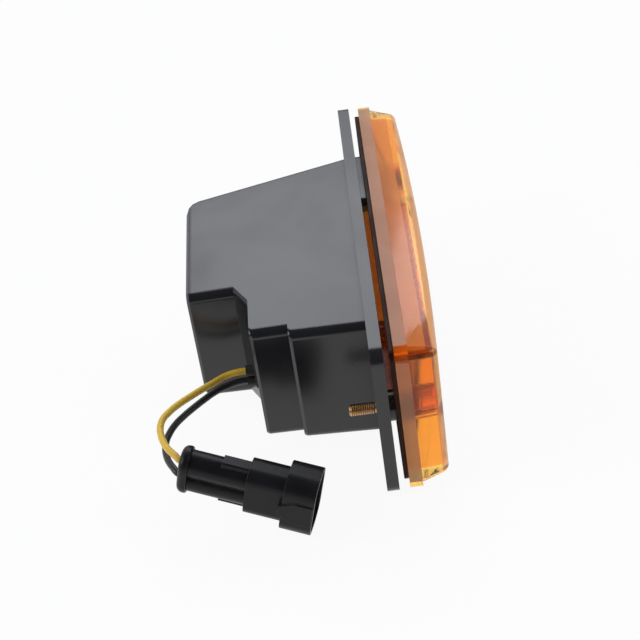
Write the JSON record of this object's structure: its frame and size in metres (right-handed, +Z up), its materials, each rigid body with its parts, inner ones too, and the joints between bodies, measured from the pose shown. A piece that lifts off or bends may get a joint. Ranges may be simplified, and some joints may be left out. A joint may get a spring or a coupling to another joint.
{
  "type": "vehicle indicator lamp",
  "caption": "Rectangular amber direction indicator lamp with a stepped black housing for a panel cut-out, screwed lens, bulb and short lead with a sealed connector.",
  "frame": {"origin": "middle of the lamp's length and depth, at the bottom of the flange, measured without the lead and its connector", "axes": "+X the way the lamp shines, +Y along its long side, away from the end with the lead, +Z up"},
  "size_m": [0.0933, 0.1687, 0.058],
  "materials": {
    "black_plastic": "satin moulded black",
    "amber_plastic": "clear moulded amber",
    "black_rubber": "matt",
    "bright_metal": "mirror",
    "bulb_glass": "clear",
    "brass": "drawn",
    "steel": "plain",
    "brown_fibre": "pressed fibre",
    "yellow_zinc": "yellow zinc plated",
    "yellow_wire": "soft insulation",
    "black_wire": "soft insulation",
    "connector_plastic": "matt moulded black",
    "seal_rubber": "silicone",
    "tinned_metal": "tinned"
  },
  "bodies": {
    "root": {"housing": "black_plastic", "lens": "amber_plastic", "lens_gasket": "black_rubber", "reflector": "bright_metal", "bulb_glass": "bulb_glass", "bulb_cap": "brass", "bulb_filament": "steel", "bulb_holder": "steel", "holder_rivets": "steel", "holder_insulator": "brown_fibre", "centre_contact": "brass", "contact_spring": "steel", "live_terminal": "brass", "earth_terminal": "brass", "lens_screw_near": "yellow_zinc", "lens_screw_far": "yellow_zinc", "screw_washer_near": "steel", "screw_washer_far": "steel", "cable_grommet": "black_rubber", "inner_lead_yellow": "yellow_wire", "inner_lead_black": "black_wire", "wire_yellow": "yellow_wire", "wire_black": "black_wire", "connector_housing": "connector_plastic", "connector_rear_cap": "connector_plastic", "connector_lock": "connector_plastic", "wire_seal_yellow": "seal_rubber", "wire_seal_black": "seal_rubber", "connector_pin_live": "tinned_metal", "connector_pin_earth": "tinned_metal"}
  },
  "joints": []
}
